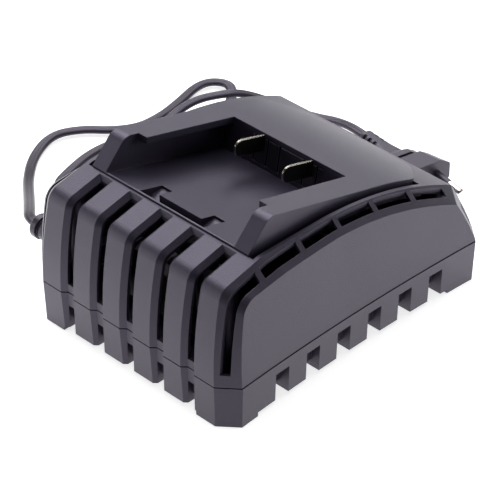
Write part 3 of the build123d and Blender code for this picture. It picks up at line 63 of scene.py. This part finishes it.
@dataclass
class Nodes:
    """A node tree, with short ways to add and join its nodes."""

    tree: bpy.types.NodeTree

    def add(self, kind: str, **settings: object) -> bpy.types.Node:
        """Add a node and set its properties.

        Args:
            kind: Blender's name for the node.
            settings: properties by name.

        Returns:
            The new node.
        """
        node = self.tree.nodes.new(kind)
        for name, value in settings.items():
            setattr(node, name, value)
        return node

    def feed(self, value: Value, slot: Socket) -> None:
        """Give a socket its value.

        Args:
            value: a socket to link from, or the constant itself.
            slot: the socket that takes it.
        """
        if isinstance(value, Socket):
            self.tree.links.new(value, slot)
        else:
            slot.default_value = value

    def math(self, operation: str, first: Value, second: Value) -> Socket:
        """Add a Math node.

        Args:
            operation: Blender's name for the sum.
            first: a socket or a number.
            second: a socket or a number.

        Returns:
            The socket that holds the result.
        """
        node = self.add("ShaderNodeMath", operation=operation)
        self.feed(first, node.inputs[0])
        self.feed(second, node.inputs[1])
        return node.outputs[0]

    def dot(self, first: Value, second: Value) -> Socket:
        """Add a dot product.

        Args:
            first: a socket or a vector.
            second: a socket or a vector.

        Returns:
            The socket that holds the result.
        """
        node = self.add("ShaderNodeVectorMath", operation="DOT_PRODUCT")
        self.feed(first, node.inputs[0])
        self.feed(second, node.inputs[1])
        return node.outputs["Value"]

    def map(
        self,
        value: Value,
        source: tuple[float, float],
        target: tuple[float, float],
        interpolation: str = "LINEAR",
    ) -> Socket:
        """Add a Map Range node.

        Args:
            value: a socket or a number.
            source: the range that the value comes in.
            target: the range that it is laid out on.
            interpolation: Blender's name for the curve between the ends.

        Returns:
            The socket that holds the result.
        """
        node = self.add("ShaderNodeMapRange", interpolation_type=interpolation)
        self.feed(value, node.inputs["Value"])
        for name, number in zip(("From Min", "From Max", "To Min", "To Max"), (*source, *target)):
            node.inputs[name].default_value = number
        return node.outputs["Result"]

    def mix(self, share: Value, first: Value, second: Value) -> Socket:
        """Mix two colours.

        Args:
            share: a socket or a number, 0 for the first colour and 1 for the second.
            first: a socket or a colour with its alpha.
            second: a socket or a colour with its alpha.

        Returns:
            The socket that holds the mixed colour.
        """
        node = self.add("ShaderNodeMix", data_type="RGBA")
        self.feed(share, node.inputs[0])
        self.feed(first, node.inputs[MIX_FIRST])
        self.feed(second, node.inputs[MIX_SECOND])
        return node.outputs[MIX_RESULT]

    def noise(self, place: Socket, scale: Value, detail: float, roughness: float = 0.5) -> Socket:
        """Add a Noise Texture.

        Args:
            place: the coordinates.
            scale: a socket or a number, the features to the metre.
            detail: the number of finer layers.
            roughness: how strong each finer layer is.

        Returns:
            The socket that holds the noise, from 0 to 1.
        """
        node = self.add("ShaderNodeTexNoise")
        self.feed(place, node.inputs["Vector"])
        self.feed(scale, node.inputs["Scale"])
        self.feed(detail, node.inputs["Detail"])
        self.feed(roughness, node.inputs["Roughness"])
        return node.outputs["Fac"]


# ---- shader groups ------------------------------------------------------------------------------
class Sockets(Enum):
    """Kinds of socket that a shader group can have."""

    VALUE = "NodeSocketFloat"
    VECTOR = "NodeSocketVector"


@dataclass
class ShaderGroup:
    """A shader effect that several finishes share.

    Attributes:
        name: the group's name.
        inputs: the start value of each input, a number, by name.
        outputs: the kind of each output, by name.
        nodes: the group's own nodes.
        start: the node that hands in the inputs.
        end: the node that takes the outputs.
    """

    name: str
    inputs: dict[str, float]
    outputs: dict[str, Sockets]
    nodes: Nodes = field(init=False)
    start: bpy.types.Node = field(init=False)
    end: bpy.types.Node = field(init=False)

    def __post_init__(self) -> None:
        """Make the empty group with its sockets."""
        tree = bpy.data.node_groups.new(self.name, "ShaderNodeTree")
        for name, value in self.inputs.items():
            socket = tree.interface.new_socket(name, in_out="INPUT", socket_type=Sockets.VALUE.value)
            socket.default_value = value
        for name, kind in self.outputs.items():
            tree.interface.new_socket(name, in_out="OUTPUT", socket_type=kind.value)
        self.nodes = Nodes(tree)
        self.start = self.nodes.add("NodeGroupInput")
        self.end = self.nodes.add("NodeGroupOutput")


def spark_grain() -> ShaderGroup:
    """The fine pitted grain that a spark-eroded mould leaves, with cloudy unevenness of gloss.

    Returns:
        A group that gives the grain's height and the clouds, both from about 0 to 1.
    """
    pit_depth = 0.6  # beside the noise between the pits, which counts as 1
    group = ShaderGroup(
        "spark_grain",
        {"Grain": 2600.0, "Cloud": 45.0},
        {"Height": Sockets.VALUE, "Cloud": Sockets.VALUE},
    )
    nodes, start, end = group.nodes, group.start.outputs, group.end.inputs
    place = nodes.add("ShaderNodeTexCoord").outputs["Object"]
    fine = nodes.noise(place, start["Grain"], detail=3.0, roughness=0.65)
    pits = nodes.add("ShaderNodeTexVoronoi")
    nodes.feed(place, pits.inputs["Vector"])
    nodes.feed(start["Grain"], pits.inputs["Scale"])
    pitted = nodes.math("MULTIPLY", pits.outputs["Distance"], pit_depth)
    nodes.feed(nodes.math("ADD", fine, pitted), end["Height"])
    nodes.feed(nodes.noise(place, start["Cloud"], detail=4.0), end["Cloud"])
    return group


def worn_and_highlit_edges() -> ShaderGroup:
    """A mask of the narrow strip along an edge, paled partly by handling and partly as a painted highlight.

    Returns:
        A group that gives the mask, and the normal of the softly rounded edge.
    """
    paler_strip_range = (0.02, 0.28)  # turn of the rounded edge's normal, where the worn and highlit strip begins and where it is full
    group = ShaderGroup(
        "worn_and_highlit_edges",
        {"Width": 0.0008, "Break": 260.0},
        {"Edge": Sockets.VALUE, "Normal": Sockets.VECTOR},
    )
    nodes, start, end = group.nodes, group.start.outputs, group.end.inputs
    bevel = nodes.add("ShaderNodeBevel", samples=6)
    nodes.feed(start["Width"], bevel.inputs["Radius"])
    surface = nodes.add("ShaderNodeNewGeometry")
    turned = nodes.math("SUBTRACT", 1.0, nodes.dot(bevel.outputs["Normal"], surface.outputs["Normal"]))
    strip = nodes.map(turned, paler_strip_range, (0.0, 1.0), "SMOOTHSTEP")
    place = nodes.add("ShaderNodeTexCoord").outputs["Object"]
    patchy = nodes.noise(place, start["Break"], detail=3.0)
    nodes.feed(nodes.math("MULTIPLY", strip, patchy), end["Edge"])
    nodes.feed(bevel.outputs["Normal"], end["Normal"])
    return group


GRAIN = spark_grain()
EDGES = worn_and_highlit_edges()


# ---- finishes -----------------------------------------------------------------------------------
WHITE: Colour = (1.0, 1.0, 1.0)
PLUM: Colour = (0.85, 0.76, 1.0)  # the cool sheen of the dark plastics
RUBBED_AND_HIGHLIT: Colour = (0.05, 0.045, 0.056)  # the dark plastics at their edges, paler partly from wear and partly as a painted highlight
MIRROR = 0.03  # the least roughness that a finish comes down to


@dataclass(frozen=True)
class Finish:
    """A surface finish: colour, gloss and the relief of its grain.

    Attributes:
        name: the material's name.
        colour: the plain colour.
        roughness: how dull the surface is.
        metallic: 1 for bare metal.
        specular: strength of the sheen.
        tint: colour of the sheen.
        grain: pits to the metre.
        relief: height of the grain in metres.
        edge: colour of the edges, paler partly from wear and partly as a painted highlight.
        edge_width: reach of the worn and highlit strip from an edge, in metres.
        variation: how far colour and gloss wander over the piece.
        coat: weight of a clear lacquer.
    """

    name: str
    colour: Colour
    roughness: float = 0.5
    metallic: float = 0.0
    specular: float = 0.6
    tint: Colour = PLUM
    grain: float = 2600.0
    relief: float = 0.00003
    edge: Colour = (0.2, 0.2, 0.22)
    edge_width: float = 0.0006
    variation: float = 0.15
    coat: float = 0.0

    @cache
    def material(self) -> bpy.types.Material:
        """The finish as a node material, made the first time it is asked for.

        Returns:
            The material.
        """
        material = bpy.data.materials.new(f"{self.name}_finish")
        material.use_nodes = True
        nodes = Nodes(material.node_tree)
        shader = material.node_tree.nodes["Principled BSDF"].inputs
        shader["Metallic"].default_value = self.metallic
        shader["Specular IOR Level"].default_value = self.specular
        shader["Specular Tint"].default_value = (*self.tint, 1)
        shader["Coat Weight"].default_value = self.coat
        grain = nodes.add("ShaderNodeGroup", node_tree=GRAIN.nodes.tree)
        grain.inputs["Grain"].default_value = self.grain
        edges = nodes.add("ShaderNodeGroup", node_tree=EDGES.nodes.tree)
        edges.inputs["Width"].default_value = self.edge_width
        cloud = grain.outputs["Cloud"]
        dark = (*[share * (1 - self.variation) for share in self.colour], 1)
        light = (*[min(1.0, share * (1 + self.variation)) for share in self.colour], 1)
        tone = nodes.mix(cloud, dark, light)
        # partly wear, partly painted highlight: a paler edge colour is mixed into the base colour along the
        # edges
        nodes.feed(nodes.mix(edges.outputs["Edge"], tone, (*self.edge, 1)), shader["Base Color"])
        spread = self.variation / 2
        glossy = max(MIRROR, self.roughness * (1 - spread))
        dull = min(1.0, self.roughness * (1 + spread))
        nodes.feed(nodes.map(cloud, (0.0, 1.0), (glossy, dull)), shader["Roughness"])
        bump = nodes.add("ShaderNodeBump")
        bump.inputs["Distance"].default_value = self.relief
        nodes.feed(grain.outputs["Height"], bump.inputs["Height"])
        nodes.feed(edges.outputs["Normal"], bump.inputs["Normal"])
        nodes.feed(bump.outputs["Normal"], shader["Normal"])
        return material


SHELL = Finish(
    "shell_plastic",
    (0.020, 0.017, 0.028),
    roughness=0.46,
    grain=2100.0,
    relief=0.00011,
    edge=RUBBED_AND_HIGHLIT,
    edge_width=0.00025,
)
CRADLE = Finish(
    "cradle_plastic",
    (0.020, 0.017, 0.030),
    roughness=0.44,
    relief=0.00006,
    edge=RUBBED_AND_HIGHLIT,
    edge_width=0.0004,
)
SHEATH = Finish(
    "cord_sheath",
    (0.026, 0.022, 0.031),
    roughness=0.38,
    specular=0.4,
    grain=900.0,
    relief=0.00002,
)
PLUG = Finish("plug_plastic", (0.020, 0.017, 0.024), roughness=0.44, grain=1500.0)
TERMINAL = Finish("terminal_plastic", (0.008, 0.008, 0.009), roughness=0.5)
CONTACT = Finish(
    "contact_metal",
    (0.26, 0.24, 0.21),
    roughness=0.22,
    metallic=1.0,
    tint=WHITE,
    relief=0.000004,
    edge=(1.0, 0.95, 0.86),
    edge_width=0.0007,
)
PIN = Finish(
    "pin_metal",
    (0.50, 0.48, 0.47),
    roughness=0.22,
    metallic=1.0,
    tint=WHITE,
    relief=0.000004,
    edge=(0.9, 0.9, 0.88),
)
SCREW = Finish("screw_steel", (0.5, 0.5, 0.5), roughness=0.3, metallic=1.0, tint=WHITE, relief=0.00001)
BOARD = Finish("board_laminate", (0.003, 0.014, 0.006), roughness=0.4, coat=0.2)
FERRITE = Finish("ferrite", (0.012, 0.012, 0.013), roughness=0.7)
# painted shade: the yellow winding tape is given a dark colour, so that it shows as dark as the shaded
# inside through the vents
TAPE_IN_PAINTED_SHADE = Finish("winding_tape", (0.030, 0.020, 0.003), roughness=0.4)
CAN = Finish("capacitor_sleeve", (0.010, 0.011, 0.022), roughness=0.3)
# painted shade: the yellow film capacitor is given a dark colour, so that it shows as dark as the shaded
# inside through the vents
FILM_IN_PAINTED_SHADE = Finish("film_capacitor", (0.030, 0.022, 0.005), roughness=0.4)
SINK = Finish("heat_sink_aluminium", (0.04, 0.04, 0.042), roughness=0.5, metallic=0.6, relief=0.00001)
EPOXY = Finish("package_epoxy", (0.010, 0.010, 0.011), roughness=0.5)
NYLON = Finish("connector_nylon", (0.05, 0.048, 0.044), roughness=0.5)
CERAMIC = Finish("fuse_ceramic", (0.06, 0.058, 0.054), roughness=0.4)
BROWN = Finish("wire_brown", (0.02, 0.009, 0.005), roughness=0.4)
BLUE = Finish("wire_blue", (0.004, 0.008, 0.022), roughness=0.4)
RED = Finish("wire_red", (0.03, 0.004, 0.004), roughness=0.4)
BLACK = Finish("wire_black", (0.010, 0.010, 0.010), roughness=0.4)
STRAP = Finish("tie_plastic", (0.012, 0.012, 0.014), roughness=0.5)


def dress(finish: Finish, *names: str) -> None:
    """Give frame nodes a finish.

    Args:
        finish: what the nodes are covered with.
        names: the nodes.
    """
    for name in names:
        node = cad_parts[name]
        node.data.materials.clear()
        node.data.materials.append(finish.material())
        LOG.info("dressed %s in %s", name, finish.name)


# ---- cord ---------------------------------------------------------------------------------------
MERGE = 1e-6  # points of the cord's mesh that are nearer than this are one


class Leg(Enum):
    """The stretches that make up a turn of the hank."""

    FAR_BEND = "far bend"
    RIGHT_RUN = "right run"
    NEAR_BEND = "near bend"
    LEFT_RUN = "left run"


@dataclass
class MainsCord:
    """The flat mains cord, with the hank that its spare length is wound into.

    The route runs from the strain relief over the table to the hank, round it, and on to the plug.
    """

    width: float = 0.0052
    thickness: float = 0.0032
    hank_centre: tuple[float, float] = (-0.0828, 0.035)
    hank_length: float = 0.0848  # between the middles of the outer strands at the ends
    hank_fold: float = 0.0370  # between the middles of the outer strands at the sides
    column: float = 0.0054  # between strands that lie side by side
    layer: float = 0.0034  # between strands that lie on each other
    hank_foot: float = 0.0029  # height of the middle of the lowest strands
    bend_points: int = 6  # round one end of a turn
    run_points: int = 3  # along one side of a turn
    swell: float = 1.012  # of the bends' points, because the line passes a little inside them
    order: int = 3  # of the smooth line through or near its points
    route_steps: int = 6  # from one point of the route to the next
    section_points: int = 20  # round the section
    section_steps: int = 2  # from one point of the section to the next
    groove: float = 0.35  # depth of the section's waist, as a share of its half thickness
    groove_width: float = 0.22  # of the waist, as a share of the section's half width
    to_hank: tuple[Point, ...] = (
        (-0.0834, -0.053, 0.0208),
        (-0.0895, -0.0530, 0.0208),
        (-0.0998, -0.0442, 0.0170),
        (-0.1147, -0.0317, 0.0106),
        (-0.1320, -0.0175, 0.0046),
        (-0.1465, -0.0015, 0.0026),
        (-0.1540, 0.0165, 0.0027),
        (-0.1475, 0.0300, 0.0026),
        (-0.1370, 0.0385, 0.0027),
        (-0.1295, 0.0500, 0.0026),
        (-0.1288, 0.0640, 0.0027),
        (-0.1318, 0.0790, 0.0026),
        (-0.1360, 0.0940, 0.0027),
        (-0.1345, 0.1030, 0.0026),
        (-0.1260, 0.1075, 0.0027),
        (-0.1185, 0.1015, 0.0026),
        (-0.1118, 0.0925, 0.0027),
        (-0.1020, 0.0855, 0.0028),
        (-0.0915, 0.0800, 0.0029),
    )
    to_plug: tuple[Point, ...] = (
        (-0.0980, -0.0085, 0.0080),
        (-0.1120, -0.0140, 0.0045),
        (-0.1215, -0.0090, 0.0028),
        (-0.1258, 0.0040, 0.0026),
        (-0.1289, 0.0170, 0.0027),
        (-0.1286, 0.0310, 0.0026),
        (-0.1235, 0.0435, 0.0027),
        (-0.1198, 0.0535, 0.0029),
        (-0.1238, 0.0675, 0.0050),
        (-0.1205, 0.0790, 0.0090),
        (-0.1135, 0.0885, 0.0108),
        (-0.1083, 0.0960, 0.0108),
        (-0.1015, 0.1050, 0.0064),
        (-0.0900, 0.1110, 0.0028),
        (-0.0760, 0.1150, 0.0027),
        (-0.0650, 0.1186, 0.0038),
        (-0.05077, 0.11612, 0.00685),
        (-0.04296, 0.11438, 0.00685),
    )

    def turn(self) -> list[tuple[Leg, float, float]]:
        """One turn of the hank, clockwise from the middle of its far end.

        Returns:
            For each point its leg, its angle in degrees or its share of the run from the near end, and the
            share of the step towards the next turn's place that is made there.
        """
        half = self.bend_points // 2
        angles = [(step + 0.5) * 180 / self.bend_points for step in range(self.bend_points)]
        shares = [(step + 1) / (self.run_points + 1) for step in range(self.run_points)]
        return [
            *[(Leg.FAR_BEND, 90 - angle, 0.0) for angle in angles[:half]],
            *[(Leg.RIGHT_RUN, 1 - share, 0.0) for share in shares],
            *[(Leg.NEAR_BEND, -angle, 0.0) for angle in angles],
            *[(Leg.LEFT_RUN, share, share) for share in shares],
            *[(Leg.FAR_BEND, 180 - angle, 1.0) for angle in angles[:half]],
        ]

    def strand(self, leg: Leg, place: float, column: float, layer: float) -> Point:
        """A point of the hank.

        Args:
            leg: the stretch of the turn that the point is on.
            place: degrees round a bend, or the share of a run from its near end.
            column: columns inwards from the outermost one.
            layer: layers upwards from the lowest one.

        Returns:
            The point.
        """
        fold = self.hank_fold - 2 * self.column * column
        length = self.hank_length - 2 * self.column * column
        height = self.hank_foot + self.layer * layer
        reach = (length - fold) / 2
        x, y = self.hank_centre
        if leg in (Leg.FAR_BEND, Leg.NEAR_BEND):
            end = 1 if leg is Leg.FAR_BEND else -1
            radius = fold / 2 * self.swell
            angle = math.radians(place)
            return (x + radius * math.cos(angle), y + end * reach + radius * math.sin(angle), height)
        side = 1 if leg is Leg.RIGHT_RUN else -1
        return (x + side * fold / 2, y - reach + 2 * reach * place, height)

    def hank_turns(self) -> list[Point]:
        """Points of all the turns, of which the last stops in the middle of the hank's near end.

        Returns:
            The points in the cord's order.
        """
        outer, inner = 0, 1
        turns = [(outer, 0), (inner, 0), (inner, 1), (outer, 1), (inner, 2), (outer, 2)]  # column and layer
        points: list[Point] = []
        for (column, layer), (next_column, next_layer) in zip(turns, [*turns[1:], turns[-1]]):
            for leg, place, progress in self.turn():
                inwards = column + (next_column - column) * progress
                upwards = layer + (next_layer - layer) * progress
                points.append(self.strand(leg, place, inwards, upwards))
        half_turn = len(self.turn()) // 2
        return points[:-half_turn]

    def route(self) -> list[Point]:
        """The whole route from the strain relief to the plug."""
        return [*self.to_hank, *self.hank_turns(), *self.to_plug]

    def line(self, name: str, points: list[Point], closed: bool) -> bpy.types.Object:
        """A smooth line through or near points, as a curve object.

        Args:
            name: the object's name.
            points: the line's control points.
            closed: whether the line runs back to its start.

        Returns:
            A curve of one NURBS spline.
        """
        curve = bpy.data.curves.new(name, "CURVE")
        curve.dimensions = "3D"
        spline = curve.splines.new("NURBS")
        spline.points.add(len(points) - 1)
        for slot, place in zip(spline.points, points):
            slot.co = (*place, 1.0)
        spline.order_u = self.order
        spline.use_endpoint_u = not closed
        spline.use_cyclic_u = closed
        spline.resolution_u = self.section_steps if closed else self.route_steps
        line = bpy.data.objects.new(name, curve)
        bpy.context.scene.collection.objects.link(line)
        return line

    def section(self) -> bpy.types.Object:
        """The cord's section: two cores side by side under one sheath, with a shallow groove between.

        Returns:
            A closed curve in its own plane.
        """
        outline: list[Point] = []
        for step in range(self.section_points):
            angle = 2 * math.pi * step / self.section_points
            across, over = math.cos(angle), math.sin(angle)
            waist = 1 - self.groove * math.exp(-((across / self.groove_width) ** 2))
            outline.append((across * self.width / 2, over * self.thickness / 2 * waist, 0.0))
        return self.line("cord_section", outline, closed=True)

    def bake(self, line: bpy.types.Object) -> bpy.types.Mesh:
        """Make a mesh of a curve object as it is now.

        Args:
            line: the curve object.

        Returns:
            Its mesh, points only where the curve has no thickness.
        """
        bpy.context.view_layer.update()
        return bpy.data.meshes.new_from_object(line.evaluated_get(bpy.context.evaluated_depsgraph_get()))

    def sweep(self) -> tuple[bpy.types.Mesh, list[Vector]]:
        """Sweep the flat section along the route.

        Returns:
            The closed mesh, and the points of its centre line.
        """
        section = self.section()
        line = self.line("cord_line", self.route(), closed=False)
        bare = self.bake(line)
        path = [vertex.co.copy() for vertex in bare.vertices]
        bpy.data.meshes.remove(bare)
        line.data.bevel_mode = "OBJECT"
        line.data.bevel_object = section
        line.data.twist_mode = "Z_UP"
        line.data.use_fill_caps = True
        mesh = self.bake(line)
        mesh.name = "mains_cord"
        bpy.data.objects.remove(line)
        bpy.data.objects.remove(section)
        shape = bmesh.new()
        shape.from_mesh(mesh)
        bmesh.ops.remove_doubles(shape, verts=shape.verts, dist=MERGE)
        bmesh.ops.recalc_face_normals(shape, faces=shape.faces)
        shape.to_mesh(mesh)
        shape.free()
        for polygon in mesh.polygons:
            polygon.use_smooth = True
        return mesh, path

    def build(self) -> bpy.types.Object:
        """Put the cord in its sheath finish in place of the frame's plain cord.

        Returns:
            The cord.
        """
        mesh, path = self.sweep()
        cord = bpy.data.objects.new("mains_cord", mesh)
        bpy.context.scene.collection.objects.link(cord)
        cord.data.materials.clear()
        cord.data.materials.append(SHEATH.material())
        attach(cord, "root")
        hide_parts("cord_to_hank", "cord_hank", "cord_to_plug")
        return cord


# ---- dressing of the frame's nodes --------------------------------------------------------------
@dataclass
class Housing:
    """The two shells, the battery cradle and the contacts."""

    def build(self) -> None:
        """Give each piece its finish."""
        dress(SHELL, "upper_shell", "lower_shell")
        dress(CRADLE, "battery_cradle")
        dress(TERMINAL, "terminal_block")
        dress(CONTACT, "contact_blade_negative", "contact_blade_positive")
        dress(SCREW, "shell_screws", "board_screws")


@dataclass
class PowerBoard:
    """The circuit board with its parts and leads."""

    def build(self) -> None:
        """Give each piece its finish."""
        dress(BOARD, "circuit_board")
        dress(FERRITE, "transformer_core", "common_mode_choke")
        dress(TAPE_IN_PAINTED_SHADE, "transformer_winding")
        dress(CAN, "mains_capacitor", "output_capacitor_left", "output_capacitor_right")
        dress(FILM_IN_PAINTED_SHADE, "interference_capacitor")
        dress(SINK, "primary_heat_sink", "secondary_heat_sink")
        dress(EPOXY, "bridge_rectifier", "switching_transistor", "output_diode")
        dress(EPOXY, "controller_chip", "optocoupler")
        dress(NYLON, "mains_connector", "output_connector", "cord_clamp")
        dress(CERAMIC, "mains_fuse")
        dress(BROWN, "mains_lead_live")
        dress(BLUE, "mains_lead_neutral")
        dress(RED, "output_lead_positive")
        dress(BLACK, "output_lead_negative")


@dataclass
class PlugSet:
    """The plug with its boot and pins, and the cord's strain relief, inner end and tie."""

    def build(self) -> None:
        """Give each piece its finish."""
        dress(PLUG, "plug_body", "plug_boot", "pin_sleeve_near", "pin_sleeve_far")
        dress(PIN, "plug_pin_near", "plug_pin_far")
        dress(SHEATH, "strain_relief", "cord_inner_end")
        dress(STRAP, "hank_tie")


# ---- studio -------------------------------------------------------------------------------------
@dataclass(frozen=True)
class Lamp:
    """A square soft lamp.

    Attributes:
        name: the lamp's name.
        place: where it hangs.
        size: its side in metres.
        power: its power in watts.
    """

    name: str
    place: Point
    size: float
    power: float

    def hang(self, target: Point) -> None:
        """Add the lamp to the scene.

        Args:
            target: what it points at.
        """
        data = bpy.data.lights.new(self.name, "AREA")
        data.shape = "SQUARE"
        data.size = self.size
        data.energy = self.power
        lamp = bpy.data.objects.new(self.name, data)
        lamp.location = self.place
        aim = Vector(target) - Vector(self.place)
        lamp.rotation_euler = aim.to_track_quat("-Z", "Y").to_euler()
        bpy.context.scene.collection.objects.link(lamp)


@dataclass
class Studio:
    """White floor, soft lamps and the camera."""

    azimuth: float = 44.624  # of the camera, in degrees round from the front
    elevation: float = 35.74  # in degrees
    lens: float = 183.07  # in millimetres
    sensor: float = 36.0  # in millimetres
    eye: Point = (0.6179, -0.6325, 0.6584)
    far_clip: float = 20.0
    floor_reach: float = 6.0  # from the floor's middle to its sides
    floor_grey: float = 0.8
    floor_roughness: float = 0.9
    floor_glow: float = 0.75  # added to what the camera sees of the floor, so that it shows white
    sheen_direction: Point = (-0.70, 0.71, 0.0)  # across the floor, away from the camera
    sheen_range: tuple[float, float] = (-0.20, -0.05)  # along that direction, where the sheen grows
    sheen_levels: tuple[float, float] = (0.2, 1.4)  # of the floor's painted glow in reflections, near and far
    surroundings: float = 0.05  # strength of the white world round the scene
    target: Point = (0.0, 0.0, 0.04)  # what the lamps point at
    lamps: tuple[Lamp, ...] = (
        Lamp("left", (-0.85, 0.40, 1.05), 1.0, 18.0),
        Lamp("back", (-0.45, 1.1, 0.75), 0.8, 4.0),
        Lamp("overhead", (0.0, 0.1, 1.4), 0.8, 8.0),
        Lamp("left_front", (-1.1, -0.9, 0.35), 0.7, 6.5),
        Lamp("right_back", (1.1, 0.9, 0.3), 0.7, 5.5),
    )

    def camera(self) -> bpy.types.Object:
        """Place the camera.

        Returns:
            The camera, which is the scene's own from now on.
        """
        turn, rise = math.radians(self.azimuth), math.radians(self.elevation)
        right = Vector((math.cos(turn), math.sin(turn), 0))
        back = Vector((math.sin(turn) * math.cos(rise), -math.cos(turn) * math.cos(rise), math.sin(rise)))
        up = back.cross(right)
        data = bpy.data.cameras.new("camera")
        data.lens = self.lens
        data.sensor_width = self.sensor
        data.clip_end = self.far_clip
        camera = bpy.data.objects.new("camera", data)
        axes = Matrix((right, up, back)).transposed().to_4x4()
        camera.matrix_world = Matrix.Translation(Vector(self.eye)) @ axes
        bpy.context.scene.collection.objects.link(camera)
        bpy.context.scene.camera = camera
        return camera

    def paper(self) -> bpy.types.Material:
        """Make the floor's paper, which glows where the camera or a reflection looks at it.

        Returns:
            The material.
        """
        material = bpy.data.materials.new("floor_paper")
        material.use_nodes = True
        nodes = Nodes(material.node_tree)
        shader = material.node_tree.nodes["Principled BSDF"]
        shader.inputs["Base Color"].default_value = (self.floor_grey, self.floor_grey, self.floor_grey, 1)
        shader.inputs["Roughness"].default_value = self.floor_roughness
        ray = nodes.add("ShaderNodeLightPath").outputs
        place = nodes.add("ShaderNodeTexCoord").outputs["Object"]
        # painted reflection: in reflections only, the floor glows, dim towards the camera and bright away
        # from it, though it is no lamp
        along = nodes.dot(place, self.sheen_direction)
        sheen = nodes.map(along, self.sheen_range, self.sheen_levels, "SMOOTHSTEP")
        seen = nodes.math("MULTIPLY", ray["Is Camera Ray"], self.floor_glow)
        reflected = nodes.math("MULTIPLY", ray["Is Glossy Ray"], sheen)
        glow = nodes.add("ShaderNodeEmission")
        nodes.feed(nodes.math("ADD", seen, reflected), glow.inputs["Strength"])
        both = nodes.add("ShaderNodeAddShader")
        nodes.feed(shader.outputs[0], both.inputs[0])
        nodes.feed(glow.outputs[0], both.inputs[1])
        nodes.feed(both.outputs[0], material.node_tree.nodes["Material Output"].inputs["Surface"])
        return material

    def floor(self) -> bpy.types.Object:
        """Make the pale floor, which shows white round the object and keeps its shadow.

        Returns:
            The floor.
        """
        shape = bmesh.new()
        bmesh.ops.create_grid(shape, x_segments=1, y_segments=1, size=self.floor_reach)
        mesh = bpy.data.meshes.new("floor")
        shape.to_mesh(mesh)
        shape.free()
        mesh.materials.append(self.paper())
        floor = bpy.data.objects.new("floor", mesh)
        bpy.context.scene.collection.objects.link(floor)
        return floor

    def build(self) -> None:
        """Set the world, the lamps, the floor and the camera."""
        scene = bpy.context.scene
        scene.view_settings.view_transform = "Standard"
        world = bpy.data.worlds.new("world")
        world.use_nodes = True
        background = world.node_tree.nodes["Background"].inputs
        background["Color"].default_value = (*WHITE, 1)
        background["Strength"].default_value = self.surroundings
        scene.world = world
        for lamp in self.lamps:
            lamp.hang(self.target)
        self.floor()
        self.camera()


def main() -> None:
    """Build every sub-assembly in order."""
    logging.basicConfig(level=logging.INFO, format="%(message)s")
    Studio().build()
    MainsCord().build()
    Housing().build()
    PowerBoard().build()
    PlugSet().build()


if __name__ == "__main__":
    main()
